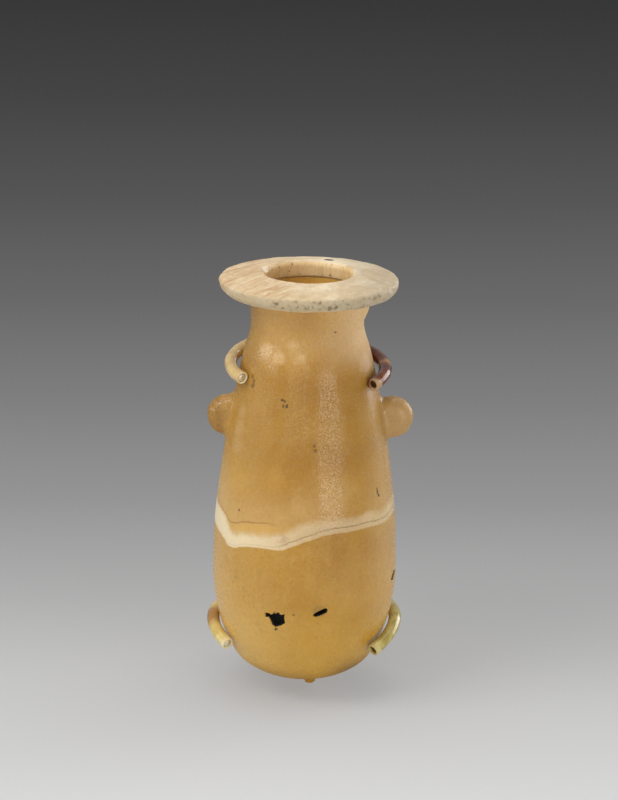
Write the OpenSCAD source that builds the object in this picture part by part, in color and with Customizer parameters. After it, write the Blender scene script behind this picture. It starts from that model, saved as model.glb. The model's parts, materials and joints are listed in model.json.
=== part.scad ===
// Alabastron, a carved stone oil flask, held in a four-hook display holder.
// Units are millimetres and +Z is up. The front faces -Y.
// Everything is drawn about the vessel's own axis, with z = 0 at the lowest
// point of its round base. placed() then moves it to the part's origin, on the
// stem's axis where the stem's shoulder meets the wall.

/* [Body] */
// Height of the widest line above the base
belly_z = 42.1; // [38:0.1:46]
// Width of the body at its widest line
belly_d = 55.1; // [53:0.1:60]
// Rise from the widest line to the flank
flank_rise = 29.9; // [27:0.1:34]
// Width of the body at the flank
flank_d = 49.4; // [47:0.1:52]
// Rise from the flank to the shoulder
shoulder_rise = 20; // [18:0.1:23]
// Width of the body at the shoulder
shoulder_d = 42.2; // [40:0.1:46]
// Rise from the shoulder to the waist of the neck
waist_rise = 18.2; // [17:0.1:22]
// Width of the neck at its waist
waist_d = 34.2; // [33:0.1:36]
// Rise from the waist to the seat of the rim disc
neck_rise = 9.7; // [7:0.1:12]
// Width of the neck under the rim disc
neck_d = 36.2; // [35:0.1:40]
// How squarely the base turns in towards its lowest point
base_turn = 2.9; // [2.4:0.1:3.6]
// How full the base is below its widest line
base_fullness = 2.7; // [2.2:0.1:3.2]

/* [Hollow] */
// Wall of the hollow body
wall = 4.2; // [3:0.1:6]
// Stone under the hollow
floor_t = 8; // [5:0.5:12]
// Bore of the neck
neck_bore = 26.8; // [22:0.1:28]

/* [Lugs and nub] */
// Height of the lugs above the flank
lug_rise = 9.5; // [6:0.1:13]
// How far the left lug stands out of the body
left_lug_out = 6.2; // [4:0.1:9]
// How far the right lug stands out of the body
right_lug_out = 8.2; // [4:0.1:9]
// Height of a lug
lug_h = 12.2; // [9:0.1:15]
// Thickness of a lug
lug_t = 7.4; // [5:0.1:9]
// Length of the nub under the base
nub_len = 4.3; // [2:0.1:6]
// Width of the nub at the base
nub_root_d = 4.4; // [3:0.1:6]
// Width of the nub at its tip
nub_tip_d = 2.8; // [2:0.1:2.9]
// How far the nub sits to the right of the axis
nub_x = 2.1; // [0:0.1:4]

/* [Pits] */
// Depth of the broken-out pits in the front
pit_depth = 3; // [1:0.1:3.5]
// Width of the ragged pit
pit_w = 5.9; // [4:0.1:8]
// Height of the ragged pit, from its lowest to its highest point
pit_h = 4.4; // [3:0.1:6]
// Height of the ragged pit above the base
pit_z = 25.5; // [22:0.1:30]
// Turn of the ragged pit from the front, to the right
pit_turn = -17.3; // [-30:0.1:-10]
// Height of the slanting pit above the base
gouge_z = 28.7; // [25:0.1:32]
// Turn of the slanting pit from the front, to the right
gouge_turn = 9.6; // [2:0.1:20]
// Length of the slanting pit
gouge_len = 4.6; // [3:0.1:6]
// Width of the slanting pit
gouge_w = 1.5; // [1:0.1:2]
// Slope of the slanting pit
gouge_slope = 24; // [0:1:45]

/* [Rim disc] */
// Width of the rim disc
rim_d = 53.4; // [48:0.1:58]
// Thickness of the disc at its edge
rim_edge_t = 4.4; // [4:0.1:6]
// Rise of the disc's top from its edge to the mouth
rim_crown = 1.8; // [0.5:0.1:3]
// Rounding of the disc's upper edge
rim_round = 1; // [0.5:0.1:1.4]
// Rounding of the disc's lower edge
rim_under_round = 2.4; // [1:0.1:2.6]
// Rounding of the mouth
mouth_round = 0.8; // [0.3:0.1:1.2]
// Bore of the mouth
mouth_d = 26.2; // [22:0.1:26.6]
// Width of the neck's spigot inside the disc
spigot_d = 32; // [30:0.1:34]
// Depth of the disc's seat for the spigot
seat_depth = 1.6; // [1:0.1:2.2]
// Thickness of the bedding cement
bed_t = 0.4; // [0.2:0.05:0.8]
// Clearance round the spigot and the bedding
seat_fit = 0.1; // [0.05:0.05:0.3]

/* [Hooks] */
// Diameter of the hooks' wire
wire_d = 2.4; // [2:0.1:2.8]
// Outside diameter of the tubing
sleeve_d = 3.9; // [3.4:0.1:4.4]
// Clearance between the wire and the tubing, all round
sleeve_fit = 0.05; // [0.02:0.01:0.15]
// Rise of the upper left hook above the shoulder, beside the vessel
upper_left_rise = 5.7; // [4.5:0.1:7.5]
// Rise of the upper right hook above the shoulder, beside the vessel
upper_right_rise = 4.3; // [4:0.1:7]
// Height of the lower left hook, beside the vessel
lower_left_z = 16.5; // [14:0.1:20]
// Height of the lower right hook, beside the vessel
lower_right_z = 17.3; // [14:0.1:20]
// Fall of the upper hooks towards the front, in degrees
upper_fall = 7.5; // [4:0.5:12]
// Fall of the lower hooks towards the front, in degrees
lower_fall = 9; // [4:0.5:12]
// Lean of the lower hooks in towards the vessel's axis, in degrees
lower_lean = 20; // [10:1:26]
// How far the upper hooks reach past the vessel's side, in degrees
upper_reach = 31.5; // [24:0.5:38]
// How far the lower left hook reaches past the vessel's side, in degrees
lower_left_reach = 29; // [24:0.5:40]
// How far the lower right hook reaches past the vessel's side, in degrees
lower_right_reach = 36; // [24:0.5:40]
// Gap between the tubing and the stone at a hook's tip
tip_gap = 0.35; // [0.3:0.05:1]
// Gap between the tubing and the stone beside an upper hook
upper_gap = 1.2; // [0.8:0.1:1.8]
// Gap between the tubing and the stone beside a lower hook
lower_gap = 0.5; // [0.45:0.05:1.2]
// How far the tubing runs past the wire at a tip
tip_overhang = 0.8; // [0.3:0.1:2]
// Length of tubing on a hook's straight arm
sleeve_arm = 7; // [4:0.5:9]
// Bend radius between a hook's arm and its shank
bend_r = 4; // [3:0.1:5]

/* [Blocks] */
// Distance of the upper shanks from the middle
upper_shank_x = 7; // [6:0.1:8]
// Distance of the lower shanks from the middle
lower_shank_x = 9; // [8:0.1:10]
// Metal in front of and behind a shank's axis
shank_edge = 3.2; // [2.8:0.1:4]
// Metal beside a shank's axis
shank_side = 4.2; // [3.6:0.1:6]
// Length of shank in its block
shank_in = 9.5; // [8:0.1:12]
// Bare shank between a block and the lower hook of its pair
shank_show = 0.6; // [0.4:0.1:2]
// Running clearance round a shank
shank_fit = 0.05; // [0.02:0.01:0.1]
// Clearance under a shank's end
shank_end_fit = 0.15; // [0.1:0.05:0.4]
// Block left under the shanks' bores
block_floor = 2.4; // [1.5:0.1:4]
// Space between the lower block and the belly's widest line
block_air = 0.8; // [0.5:0.1:3]
// Space between the upper block and the flank
upper_block_air = 0.8; // [0.5:0.1:3]
// Width of a pad
pad_w = 14; // [10:0.5:16]
// Height of a pad
pad_h = 7; // [5:0.5:9]
// Clearance between a pad and the stone
pad_fit = 0.1; // [0.05:0.05:0.3]

/* [Spine and stem] */
// Width of the spine
spine_w = 10; // [8:0.5:14]
// Thickness of the spine
spine_t = 3; // [2.4:0.1:5]
// Rounding of the spine's ends
spine_round = 2; // [1:0.1:4]
// Diameter of the stem's shoulder
shoulder_pin_d = 12; // [10:0.5:16]
// Distance from the spine to the wall
stand_off = 10; // [9:0.5:20]
// Diameter of the stem's pin
stem_d = 6; // [5:0.5:8]
// Length of the stem's pin
stem_len = 25; // [15:1:40]
// Chamfer on the end of the stem's pin
stem_chamfer = 0.6; // [0.2:0.1:1]

/* [Screws] */
// Diameter of the screws in the blocks
block_screw_d = 2.5; // [2:0.1:3]
// Width of the block screws' heads
block_head_d = 4.6; // [4:0.1:5.5]
// Height of the block screws' heads
block_head_h = 1.6; // [1:0.1:2.5]
// Length of the block screws in a block
block_screw_in = 4.4; // [3:0.1:5]
// Distance between a block's two screws
block_screw_pitch = 6.4; // [5.5:0.1:7]
// Diameter of the grub screws
grub_d = 2.5; // [2:0.1:3]
// Space left between a grub screw and its shank
grub_gap = 0.1; // [0.05:0.05:0.3]
// Width across the flats of the grub screws' sockets
grub_socket = 1.3; // [1:0.1:1.5]
// Diameter of the stem's screw
stem_screw_d = 3; // [2.5:0.1:4]
// Width of the stem screw's countersunk head
stem_head_d = 6; // [5.5:0.1:7]
// Length of the stem's screw in the stem
stem_screw_in = 7; // [5:0.5:9]
// Width of the screws' slots
slot_w = 0.8; // [0.5:0.1:1]
// Depth of the screws' slots
slot_depth = 0.7; // [0.4:0.1:0.9]
// Clearance round a screw's thread
thread_fit = 0.05; // [0.02:0.01:0.1]

/* [Hidden] */
$fn = 64;
base_steps = 30;
side_steps = 44;
round_steps = 8;
cut_over = 1;
weld = 0.1;
knuckle_over = 0.02;
flank_z = belly_z + flank_rise;
shoulder_z = flank_z + shoulder_rise;
waist_z = shoulder_z + waist_rise;
neck_z = waist_z + neck_rise;
lug_z = flank_z + lug_rise;
rim_z = neck_z + rim_edge_t;
mouth_z = rim_z + rim_crown;
seat_z = neck_z + seat_depth;
spigot_z = seat_z - bed_t;
wire_r = wire_d / 2;
sleeve_r = sleeve_d / 2;
lower_shank_y = belly_d / 2 + block_air + shank_edge;
upper_shank_y = flank_d / 2 + upper_block_air + shank_edge;
spine_y = lower_shank_y + shank_edge;
wall_y = spine_y + spine_t + stand_off;

// The vessel's outline: heights and half widths of its stations, joined by a
// smooth curve with no swing past a station.
stations = [[belly_z, belly_d / 2], [flank_z, flank_d / 2], [shoulder_z, shoulder_d / 2],
    [waist_z, waist_d / 2], [neck_z, neck_d / 2]];
function secant(i) = (stations[i + 1][1] - stations[i][1]) / (stations[i + 1][0] - stations[i][0]);
function same_way(a, b) = a * b > 0 ? 2 * a * b / (a + b) : 0;
function slope_at(i) = i == 0 ? 0
    : i == len(stations) - 1 ? secant(i - 1) * 1.5
    : same_way(secant(i - 1), secant(i));
function span_of(z, i = 0) = i >= len(stations) - 2 || z < stations[i + 1][0] ? i : span_of(z, i + 1);
function curve(t, r0, r1, m0, m1) =
    (2 * t ^ 3 - 3 * t ^ 2 + 1) * r0 + (t ^ 3 - 2 * t ^ 2 + t) * m0
    + (3 * t ^ 2 - 2 * t ^ 3) * r1 + (t ^ 3 - t ^ 2) * m1;
function side_r(z, i) = let (h = stations[i + 1][0] - stations[i][0])
    curve((z - stations[i][0]) / h, stations[i][1], stations[i + 1][1], slope_at(i) * h, slope_at(i + 1) * h);
function bowl(t) = (1 - (1 - t) ^ base_turn) ^ (1 / base_fullness);
function stone_r(z) = z <= 0 ? 0 : z < belly_z ? belly_d / 2 * bowl(z / belly_z) : side_r(z, span_of(z));
function stone_slope(z) = (stone_r(z + 0.1) - stone_r(z - 0.1)) / 0.2;
function hollow_r(z) = z < belly_z
    ? (belly_d / 2 - wall) * bowl((z - floor_t) / (belly_z - floor_t))
    : max(neck_bore / 2, stone_r(z) - wall);

// Round outlines for the lathe, as [radius, height] points
function base_heights(low) = [for (i = [0 : base_steps]) low + (belly_z - low) * (i / base_steps) ^ 3];
function side_heights() = [for (i = [1 : side_steps]) belly_z + (neck_z - belly_z) * i / side_steps];
function outline(grow) = concat([[0, -grow]],
    [for (z = base_heights(0)) [stone_r(z) + grow, z]],
    [for (z = side_heights()) [stone_r(z) + grow, z]],
    [[0, neck_z]]);
function hollow_outline() = concat(
    [for (z = base_heights(floor_t)) [hollow_r(z), z]],
    [for (z = side_heights()) [hollow_r(z), z]],
    [[neck_bore / 2, spigot_z + cut_over], [0, spigot_z + cut_over]]);
function arc(x, y, r, from, to) = [for (i = [0 : round_steps])
    let (a = from + (to - from) * i / round_steps) [x + r * cos(a), y + r * sin(a)]];

// A hook lies in a plane that passes the vessel's side at a level, falls towards
// the front and may lean in. Its round part passes three points that keep a gap
// to the stone: tip, side and back. A straight arm leads from it to the shank.
LEVEL = 0;
SIDE_X = 1;
TILT = 2;
CENTRE = 3;
ARC_R = 4;
TIP_A = 5;
ARM_A = 6;
ARM_LEN = 7;
SHANK = 8;
back_reach = 30;
function stand(z, gap) = stone_r(z) + (sleeve_r + gap) * sqrt(1 + stone_slope(z) ^ 2);
function along(tilt) = [cos(tilt.y), 0, -sin(tilt.y)];
function across(tilt) = [sin(tilt.x) * sin(tilt.y), cos(tilt.x), sin(tilt.x) * cos(tilt.y)];
function rise(fall, lean, x, y) = tan(fall) * y + tan(lean) * x;
// A point of the hook, seen from the vessel's side, at an angle round the axis
function reach(level, side_x, fall, lean, a, gap, z, n = 6) = let (
    r = stand(z, gap),
    x = r * cos(a) - side_x,
    y = r * sin(a))
    n == 0 ? [x, y, z - level]
        : reach(level, side_x, fall, lean, a, gap, level + rise(fall, lean, x, y), n - 1);
function flat(p, tilt) = [p * along(tilt), p * across(tilt)];
function through(p, q, s) = let (
    d = 2 * (p.x * (q.y - s.y) + q.x * (s.y - p.y) + s.x * (p.y - q.y)),
    pp = p * p, qq = q * q, ss = s * s)
    [(pp * (q.y - s.y) + qq * (s.y - p.y) + ss * (p.y - q.y)) / d,
     (pp * (s.x - q.x) + qq * (p.x - s.x) + ss * (q.x - p.x)) / d];
function hook(level, fall, lean, tip_reach, gap, shank) = let (
    side_x = stand(level, gap),
    tilt = [atan(tan(fall) * cos(lean)), -lean, 0],
    tip = flat(reach(level, side_x, fall, lean, -tip_reach, tip_gap, level), tilt),
    back = flat(reach(level, side_x, fall, lean, back_reach, gap, level), tilt),
    centre = through(tip, [0, 0], back),
    x = shank.x - side_x,
    to_shank = flat([x, shank.y, rise(fall, lean, x, shank.y)], tilt) - centre,
    arm_a = atan2(to_shank.y, to_shank.x) - acos(norm(centre) / norm(to_shank)))
    [level, side_x, tilt, centre, norm(centre), atan2(tip.y - centre.y, tip.x - centre.x), arm_a,
     sqrt(to_shank * to_shank - centre * centre), [shank.x, shank.y, level + rise(fall, lean, x, shank.y)]];
upper_shank = [upper_shank_x, upper_shank_y];
lower_shank = [lower_shank_x, lower_shank_y];
upper_left = hook(shoulder_z + upper_left_rise, upper_fall, 0, upper_reach, upper_gap, upper_shank);
upper_right = hook(shoulder_z + upper_right_rise, upper_fall, 0, upper_reach, upper_gap, upper_shank);
lower_left = hook(lower_left_z, lower_fall, lower_lean, lower_left_reach, lower_gap, lower_shank);
lower_right = hook(lower_right_z, lower_fall, lower_lean, lower_right_reach, lower_gap, lower_shank);

// The way the arm leads to the shank, how far it climbs there and its turn in plan
function arm_way(h) = along(h[TILT]) * -sin(h[ARM_A]) + across(h[TILT]) * cos(h[ARM_A]);
function arm_dip(h) = asin(arm_way(h).z);
function arm_turn(h) = atan2(-arm_way(h).y, -arm_way(h).x);
// Length of arm taken up by the bend, and the height at which the bend starts
function bend_in(h) = bend_r * (1 + sin(arm_dip(h))) / cos(arm_dip(h));
function bend_z(h) = h[SHANK].z - bend_in(h) * sin(arm_dip(h)) - bend_r * cos(arm_dip(h));
upper_block_z = min(bend_z(upper_left), bend_z(upper_right)) - shank_show;
lower_block_z = min(bend_z(lower_left), bend_z(lower_right)) - shank_show;
block_h = shank_in + shank_end_fit + block_floor;
spine_low = lower_block_z - block_h;
stem_z = (spine_low + upper_block_z) / 2;
stem_head_h = (stem_head_d - stem_screw_d) / 2;

module placed() {
    translate([0, -wall_y, -stem_z]) children();
}

// Vessel

module lug(out) {
    core = lug_h / 2 - lug_t / 2;
    translate([stone_r(lug_z) + out - lug_h / 2, 0, lug_z]) rotate([90, 0, 0]) rotate_extrude() {
        translate([0, -lug_t / 2]) square([core, lug_t]);
        intersection() {
            translate([core, 0]) circle(d = lug_t);
            translate([0, -lug_t]) square(2 * lug_t);
        }
    }
}

module nub() {
    translate([nub_x, 0, nub_tip_d / 2 - nub_len]) {
        sphere(d = nub_tip_d);
        cylinder(d1 = nub_tip_d, d2 = nub_root_d, h = nub_len);
    }
}

module facing(turn, z) {
    rotate([0, 0, turn]) translate([0, pit_depth - stone_r(z), z]) rotate([90, 0, 0]) children();
}

// The ragged pit's outline goes round as shares of its width and height
module ragged_pit() {
    outline = [[-0.49, 0.27], [-0.15, 0.43], [0.14, 0.45], [0.51, 0.3], [0.49, -0.36], [0, -0.55],
        [-0.15, -0.43], [-0.25, -0.14], [-0.36, 0.02], [-0.49, 0.02]];
    linear_extrude(pit_depth + cut_over) polygon([for (share = outline) [share.x * pit_w, share.y * pit_h]]);
}

module gouge() {
    rotate([0, 0, gouge_slope]) linear_extrude(pit_depth + cut_over) {
        square([gouge_len - gouge_w, gouge_w], center = true);
        for (side = [-1, 1]) translate([side * (gouge_len - gouge_w) / 2, 0]) circle(d = gouge_w);
    }
}

module body() {
    color("goldenrod") difference() {
        union() {
            rotate_extrude() polygon(outline(0));
            translate([0, 0, neck_z - cut_over]) cylinder(d = spigot_d, h = spigot_z - neck_z + cut_over);
            lug(right_lug_out);
            mirror([1, 0, 0]) lug(left_lug_out);
            nub();
        }
        rotate_extrude() polygon(concat([[0, floor_t]], hollow_outline()));
        facing(pit_turn, pit_z) ragged_pit();
        facing(gouge_turn, gouge_z) gouge();
    }
}

module rim_disc() {
    rim_r = rim_d / 2;
    mouth_r = mouth_d / 2;
    lip_x = mouth_r + mouth_round;
    color("antiquewhite") rotate_extrude() polygon(concat(
        [[mouth_r, seat_z], [spigot_d / 2 + seat_fit, seat_z], [spigot_d / 2 + seat_fit, neck_z]],
        arc(rim_r - rim_under_round, neck_z + rim_under_round, rim_under_round, -90, 0),
        arc(rim_r - rim_round, rim_z - rim_round, rim_round, 0, 90),
        arc(lip_x, mouth_z - mouth_round, mouth_round, 90, 180)));
}

module rim_bedding() {
    color("lightgray") translate([0, 0, spigot_z]) difference() {
        cylinder(d = spigot_d, h = bed_t);
        translate([0, 0, -cut_over]) cylinder(d = neck_bore, h = bed_t + 2 * cut_over);
    }
}

// Hooks

// Moves what is drawn about the centre of a hook's arc into place
module on_hook(h) {
    translate([h[SIDE_X], 0, h[LEVEL]]) rotate(h[TILT]) translate(h[CENTRE]) children();
}

// Moves what is drawn upward from the origin onto the arm, from its arc to its shank
module on_arm(h) {
    on_hook(h) rotate([0, 0, h[ARM_A]]) translate([h[ARC_R], 0, 0]) rotate([-90, 0, 0]) children();
}

// Bridges two lengths of rod that stop just short of each other
module knuckle(d) {
    sphere(d = d + 2 * knuckle_over);
}

function turn_of(length, r) = length / r * 180 / PI;

// A round rod along a hook's arc and arm, short of the tip by a length
module rod(h, d, short, arm) {
    from = h[TIP_A] + turn_of(short, h[ARC_R]);
    to = h[ARM_A] - turn_of(weld, h[ARC_R]);
    on_hook(h) rotate([0, 0, from]) rotate_extrude(angle = to - from) translate([h[ARC_R], 0]) circle(d = d);
    on_arm(h) {
        knuckle(d);
        translate([0, 0, weld]) cylinder(d = d, h = arm - weld);
    }
}

module prong(h, block_z) {
    arm = h[ARM_LEN] - bend_in(h);
    low = block_z - shank_in;
    turned = 90 + arm_dip(h);
    gap = turn_of(weld, bend_r);
    rod(h, wire_d, tip_overhang, arm - weld);
    on_arm(h) translate([0, 0, arm]) knuckle(wire_d);
    translate([h[SHANK].x, h[SHANK].y, 0]) {
        translate([0, 0, low]) cylinder(d = wire_d, h = bend_z(h) - weld - low);
        translate([0, 0, bend_z(h)]) {
            knuckle(wire_d);
            rotate([0, 0, arm_turn(h)]) translate([bend_r, 0, 0]) rotate([90, 0, 0])
                rotate([0, 0, 180 - turned + gap]) rotate_extrude(angle = turned - 2 * gap)
                    translate([bend_r, 0]) circle(d = wire_d);
        }
    }
}

module sleeve(h) {
    difference() {
        rod(h, sleeve_d, 0, sleeve_arm);
        rod(h, wire_d + 2 * sleeve_fit, -cut_over, sleeve_arm + cut_over);
    }
}

module upper_left_prong() {
    color("peru") mirror([1, 0, 0]) prong(upper_left, upper_block_z);
}

module upper_right_prong() {
    color("peru") prong(upper_right, upper_block_z);
}

module lower_left_prong() {
    color("peru") mirror([1, 0, 0]) prong(lower_left, lower_block_z);
}

module lower_right_prong() {
    color("peru") prong(lower_right, lower_block_z);
}

module upper_left_sleeve() {
    color("wheat") mirror([1, 0, 0]) sleeve(upper_left);
}

module upper_right_sleeve() {
    color("sienna") sleeve(upper_right);
}

module lower_left_sleeve() {
    color("khaki") mirror([1, 0, 0]) sleeve(lower_left);
}

module lower_right_sleeve() {
    color("darkkhaki") sleeve(lower_right);
}

// Holder

module screw_places(block_z) {
    for (side = [-1, 1])
        translate([0, spine_y, block_z - block_h / 2 + side * block_screw_pitch / 2])
            rotate([-90, 0, 0]) children();
}

module grub_places(shank, block_z) {
    for (side = [0, 1]) mirror([side, 0, 0])
        translate([shank.x, shank.y, block_z - block_h / 2]) rotate([0, 90, 0]) children();
}

module block(shank, block_z) {
    front_y = shank.y - shank_edge;
    half_w = shank.x + shank_side;
    difference() {
        translate([-half_w, front_y, block_z - block_h]) cube([2 * half_w, spine_y - front_y, block_h]);
        for (side = [-1, 1]) translate([side * shank.x, shank.y, block_z - shank_in - shank_end_fit])
            cylinder(d = wire_d + 2 * shank_fit, h = shank_in + shank_end_fit + cut_over);
        grub_places(shank, block_z) cylinder(d = grub_d + 2 * thread_fit, h = shank_side + cut_over);
        screw_places(block_z) translate([0, 0, -block_screw_in - thread_fit])
            cylinder(d = block_screw_d + 2 * thread_fit, h = block_screw_in + cut_over);
    }
}

module upper_block() {
    color("darkgoldenrod") block(upper_shank, upper_block_z);
}

module lower_block() {
    color("darkgoldenrod") block(lower_shank, lower_block_z);
}

module pad(front_y, low_z) {
    difference() {
        translate([-pad_w / 2, 0, low_z]) cube([pad_w, front_y, pad_h]);
        rotate_extrude() polygon(outline(pad_fit));
    }
}

module upper_pad() {
    color("dimgray") pad(upper_shank_y - shank_edge, upper_block_z - block_h);
}

module lower_pad() {
    color("dimgray") pad(lower_shank_y - shank_edge, lower_block_z - pad_h);
}

module spine() {
    height = upper_block_z - spine_low;
    color("gold") difference() {
        translate([0, spine_y + spine_t, spine_low]) rotate([90, 0, 0]) linear_extrude(spine_t) {
            translate([-spine_w / 2, spine_round]) square([spine_w, height - 2 * spine_round]);
            translate([spine_round - spine_w / 2, 0]) square([spine_w - 2 * spine_round, height]);
            for (x = [-1, 1], z = [spine_round, height - spine_round])
                translate([x * (spine_w / 2 - spine_round), z]) circle(r = spine_round);
        }
        for (block_z = [upper_block_z, lower_block_z]) screw_places(block_z)
            translate([0, 0, -cut_over])
                cylinder(d = block_screw_d + 2 * thread_fit, h = spine_t + 2 * cut_over);
        translate([0, spine_y, stem_z]) rotate([-90, 0, 0]) {
            cylinder(d1 = stem_head_d + 2 * thread_fit, d2 = stem_screw_d + 2 * thread_fit, h = stem_head_h);
            cylinder(d = stem_screw_d + 2 * thread_fit, h = spine_t + cut_over);
        }
    }
}

module stem() {
    color("gold") translate([0, spine_y + spine_t, stem_z]) rotate([-90, 0, 0]) difference() {
        union() {
            cylinder(d = shoulder_pin_d, h = stand_off);
            cylinder(d = stem_d, h = stand_off + stem_len - stem_chamfer);
            translate([0, 0, stand_off + stem_len - stem_chamfer])
                cylinder(d1 = stem_d, d2 = stem_d - 2 * stem_chamfer, h = stem_chamfer);
        }
        translate([0, 0, -cut_over])
            cylinder(d = stem_screw_d + 2 * thread_fit, h = stem_screw_in + thread_fit + cut_over);
    }
}

module slot(width) {
    translate([-width / 2 - cut_over, -slot_w / 2, -cut_over])
        cube([width + 2 * cut_over, slot_w, slot_depth + cut_over]);
}

module stem_screw() {
    color("silver") translate([0, spine_y, stem_z]) rotate([-90, 0, 0]) difference() {
        union() {
            cylinder(d1 = stem_head_d, d2 = stem_screw_d, h = stem_head_h);
            cylinder(d = stem_screw_d, h = spine_t + stem_screw_in);
        }
        slot(stem_head_d);
    }
}

module block_screws() {
    color("silver") for (block_z = [upper_block_z, lower_block_z])
        screw_places(block_z) translate([0, 0, spine_t + block_head_h]) mirror([0, 0, 1]) difference() {
            union() {
                cylinder(d = block_head_d, h = block_head_h);
                cylinder(d = block_screw_d, h = block_head_h + spine_t + block_screw_in);
            }
            slot(block_head_d);
        }
}

module grub_screws() {
    start = wire_r + grub_gap;
    color("silver") for (place = [[upper_shank, upper_block_z], [lower_shank, lower_block_z]])
        grub_places(place[0], place[1]) difference() {
            translate([0, 0, start]) cylinder(d = grub_d, h = shank_side - start);
            translate([0, 0, shank_side - slot_depth]) rotate([0, 0, 30])
                cylinder(d = grub_socket / cos(30), h = slot_depth + cut_over, $fn = 6);
        }
}

placed() body();
placed() rim_disc();
placed() rim_bedding();
placed() upper_left_prong();
placed() upper_right_prong();
placed() lower_left_prong();
placed() lower_right_prong();
placed() upper_left_sleeve();
placed() upper_right_sleeve();
placed() lower_left_sleeve();
placed() lower_right_sleeve();
placed() spine();
placed() upper_block();
placed() lower_block();
placed() upper_pad();
placed() lower_pad();
placed() stem();
placed() stem_screw();
placed() block_screws();
placed() grub_screws();
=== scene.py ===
# %% [markdown]
# # A stone oil flask in its holder
# An alabastron is a slim oil flask, turned and rubbed from one block of banded
# honey-coloured stone. This one has a separate pale disc for a rim, and four
# hooks in soft tubing hold it in front of a slim brass bar.
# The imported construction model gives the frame: every piece below goes where
# that model says, in metres, and rides on one of its bodies.

# %% Load the frame
import json
import math

import bpy
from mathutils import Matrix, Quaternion, Vector, noise

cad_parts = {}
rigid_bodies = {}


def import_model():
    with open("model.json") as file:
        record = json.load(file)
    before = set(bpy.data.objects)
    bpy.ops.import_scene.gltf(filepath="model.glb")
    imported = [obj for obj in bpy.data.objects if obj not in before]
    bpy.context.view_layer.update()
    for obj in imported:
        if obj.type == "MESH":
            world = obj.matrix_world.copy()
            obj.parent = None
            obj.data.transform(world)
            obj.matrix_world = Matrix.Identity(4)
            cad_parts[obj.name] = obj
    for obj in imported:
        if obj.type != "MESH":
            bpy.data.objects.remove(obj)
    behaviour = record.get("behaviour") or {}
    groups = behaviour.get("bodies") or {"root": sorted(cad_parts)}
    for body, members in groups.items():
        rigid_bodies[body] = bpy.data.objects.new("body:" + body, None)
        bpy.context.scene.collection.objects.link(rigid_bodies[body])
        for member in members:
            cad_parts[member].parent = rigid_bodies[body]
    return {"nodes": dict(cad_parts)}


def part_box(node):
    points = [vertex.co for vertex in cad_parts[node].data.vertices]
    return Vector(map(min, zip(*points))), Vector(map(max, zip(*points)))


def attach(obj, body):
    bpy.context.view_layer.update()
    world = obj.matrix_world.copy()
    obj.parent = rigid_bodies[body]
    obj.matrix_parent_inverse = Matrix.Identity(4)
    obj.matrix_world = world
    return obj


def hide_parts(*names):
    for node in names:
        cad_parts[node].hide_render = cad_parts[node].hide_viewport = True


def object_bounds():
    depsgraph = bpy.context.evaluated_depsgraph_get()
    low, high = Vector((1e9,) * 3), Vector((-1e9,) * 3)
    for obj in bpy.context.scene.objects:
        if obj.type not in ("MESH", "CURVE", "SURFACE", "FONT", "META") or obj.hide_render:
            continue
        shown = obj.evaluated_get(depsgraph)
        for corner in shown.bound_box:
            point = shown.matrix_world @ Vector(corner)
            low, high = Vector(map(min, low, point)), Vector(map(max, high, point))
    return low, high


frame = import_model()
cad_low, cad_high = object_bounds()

# %% [markdown]
# ## Measures
# The vessel is drawn in millimetres from the lowest point of its round base, as
# a carver would measure it. The rim disc's box in the frame says where that is.

# %% Places on the vessel
mm = 0.001
neck_top = 119.9
rim_low, rim_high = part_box("rim_disc")
base = Vector(((rim_low.x + rim_high.x) / 2, (rim_low.y + rim_high.y) / 2, rim_low.z - neck_top * mm))


def place(x, y, z):
    """A point given in millimetres from the vessel's base, in the frame's metres."""
    return base + Vector((x, y, z)) * mm


print("base of the vessel:", [round(value, 5) for value in base])

# %% [markdown]
# ## Camera
# A long lens from a little above keeps the sides nearly upright. The aim, the
# rise and the slight roll were found by laying the vessel's outline on the
# photograph. The sensor's 36 mm run along the picture's long side.

# %% Camera
view_rise = math.radians(16.158)
view_roll = math.radians(0.863)
view_distance = 1200 * mm
view_aim = place(0.632, 0, 86.266)
lens_mm = 180
near_clip = 50 * mm

away = Vector((0, -math.cos(view_rise), math.sin(view_rise)))
bpy.ops.object.select_all(action="DESELECT")
bpy.ops.object.camera_add(location=view_aim + away * view_distance)
camera = bpy.context.object
camera.rotation_mode = "QUATERNION"
camera.rotation_quaternion = away.to_track_quat("Z", "Y") @ Quaternion((0, 0, 1), view_roll)
camera.data.lens = lens_mm
camera.data.clip_start = near_clip
bpy.context.scene.camera = camera
bpy.context.scene.view_settings.view_transform = "Standard"
print("camera at", [round(value, 3) for value in camera.location])

# %% [markdown]
# ## Shader expressions
# A material is a formula over the surface. One small class wraps a socket, so
# that the formula can be written with plain operators, and its add method makes
# any node: settings first, then the values or links of its sockets.


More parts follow.
